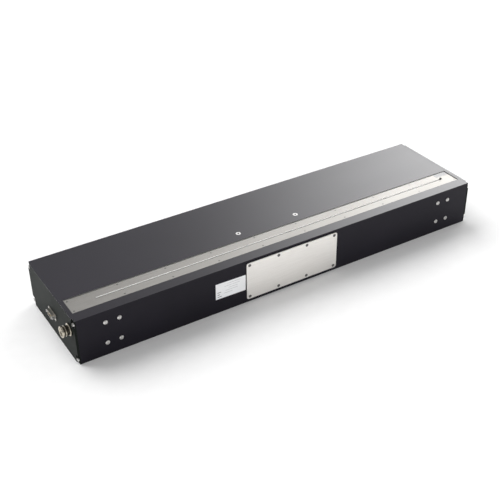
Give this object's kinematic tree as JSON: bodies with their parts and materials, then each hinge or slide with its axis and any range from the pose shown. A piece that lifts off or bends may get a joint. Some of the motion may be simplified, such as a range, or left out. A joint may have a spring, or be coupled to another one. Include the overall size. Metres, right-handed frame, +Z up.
{
  "type": "enclosed linear axis with guide carriage",
  "caption": "Long flat black housing with a slit along its top; inside, a guide carriage on a profile rail is pulled by a toothed belt and drives a pin above the slit.",
  "frame": {"origin": "middle of the flat underside", "axes": "+X along the housing, away from the connectors; -Y out of the face with the access plate; +Z up through the slit cover"},
  "size_m": [0.8352, 0.2042, 0.0875],
  "materials": {
    "black_anodised": "fine satin black anodising with a faint violet cast",
    "cover_anodised": "satin anodising that mirrors a soft light as grey",
    "end_anodised": "satin anodising, slightly green-grey",
    "stainless": "brushed stainless sheet",
    "bright_sheet": "finely brushed bright sheet",
    "grey_sheet": "matt grey sheet",
    "nickel": "warm nickel plate over turned brass",
    "bright_screws": "bright stainless, lightly machined",
    "steel": "ground bearing steel",
    "dark_steel": "black oxide",
    "aluminium": "machined aluminium",
    "black_rubber": "matt black rubber",
    "white_seal": "white low-friction plastic",
    "dark_plastic": "moulded black plastic",
    "label_paper": "white film label, satin",
    "circuit_board": "green solder mask"
  },
  "bodies": {
    "housing": {"base_plate": "aluminium", "front_wall": "black_anodised", "rear_wall": "black_anodised", "top_cover": "cover_anodised", "left_end_plate": "end_anodised", "right_end_plate": "end_anodised", "end_plate_screws": "bright_screws", "slit_strip": "stainless", "strip_screws": "steel", "strip_clamp": "grey_sheet", "seal_lips": "white_seal", "cover_screws": "bright_screws", "cover_posts": "aluminium", "access_plate": "bright_sheet", "access_gasket": "black_rubber", "access_screws": "steel", "rating_label": "label_paper", "front_bracket_left": "aluminium", "front_bracket_right": "aluminium", "rear_bracket_left": "aluminium", "rear_bracket_right": "aluminium", "front_wall_screws": "bright_screws", "rear_wall_screws": "bright_screws", "rail_beam": "aluminium", "guide_rail": "steel", "rail_screws": "dark_steel", "end_bumpers": "black_rubber", "limit_sensors": "dark_plastic", "timing_belt": "black_rubber", "drive_bracket": "aluminium", "drive_bearing": "steel", "motor_bracket": "aluminium", "motor_gearbox": "steel", "motor_body": "black_anodised", "motor_encoder": "dark_plastic", "idler_bracket": "aluminium", "idler_axle": "steel", "control_board": "circuit_board", "board_standoffs": "steel", "board_components": "dark_plastic", "internal_cables": "black_rubber", "signal_connector_shell": "stainless", "signal_connector_insert": "dark_plastic", "signal_jackscrews": "bright_screws", "power_connector_shell": "nickel", "power_connector_insert": "dark_plastic"},
    "carriage": {"carriage_block": "steel", "carriage_end_caps": "dark_plastic", "carriage_wipers": "dark_steel", "saddle": "aluminium", "saddle_screws": "dark_steel", "driver_post": "dark_steel", "drive_pin": "dark_steel", "belt_clamp": "aluminium", "sensor_flags": "steel"},
    "drive_rotor": {"drive_shaft": "steel", "drive_pulley": "aluminium", "shaft_coupling": "aluminium"},
    "idler": {"idler_pulley": "aluminium", "idler_bearing": "steel"}
  },
  "joints": [
    {"name": "carriage_slide", "type": "slide", "parent": "housing", "child": "carriage", "axis": [-1, 0, 0], "range_m": [0, 0.725]},
    {"name": "drive_spin", "type": "hinge", "parent": "housing", "child": "drive_rotor", "pos_m": [-0.388, -0.03, 0.036], "axis": [0, -1, 0], "range_deg": [0, 3481]},
    {"name": "idler_spin", "type": "hinge", "parent": "housing", "child": "idler", "pos_m": [0.388, -0.03, 0.036], "axis": [0, -1, 0], "range_deg": [0, 3481]}
  ],
  "couplings": [
    {"joint": "drive_spin", "follows": "carriage_slide", "rad_per_m": 83.776},
    {"joint": "idler_spin", "follows": "carriage_slide", "rad_per_m": 83.776}
  ]
}
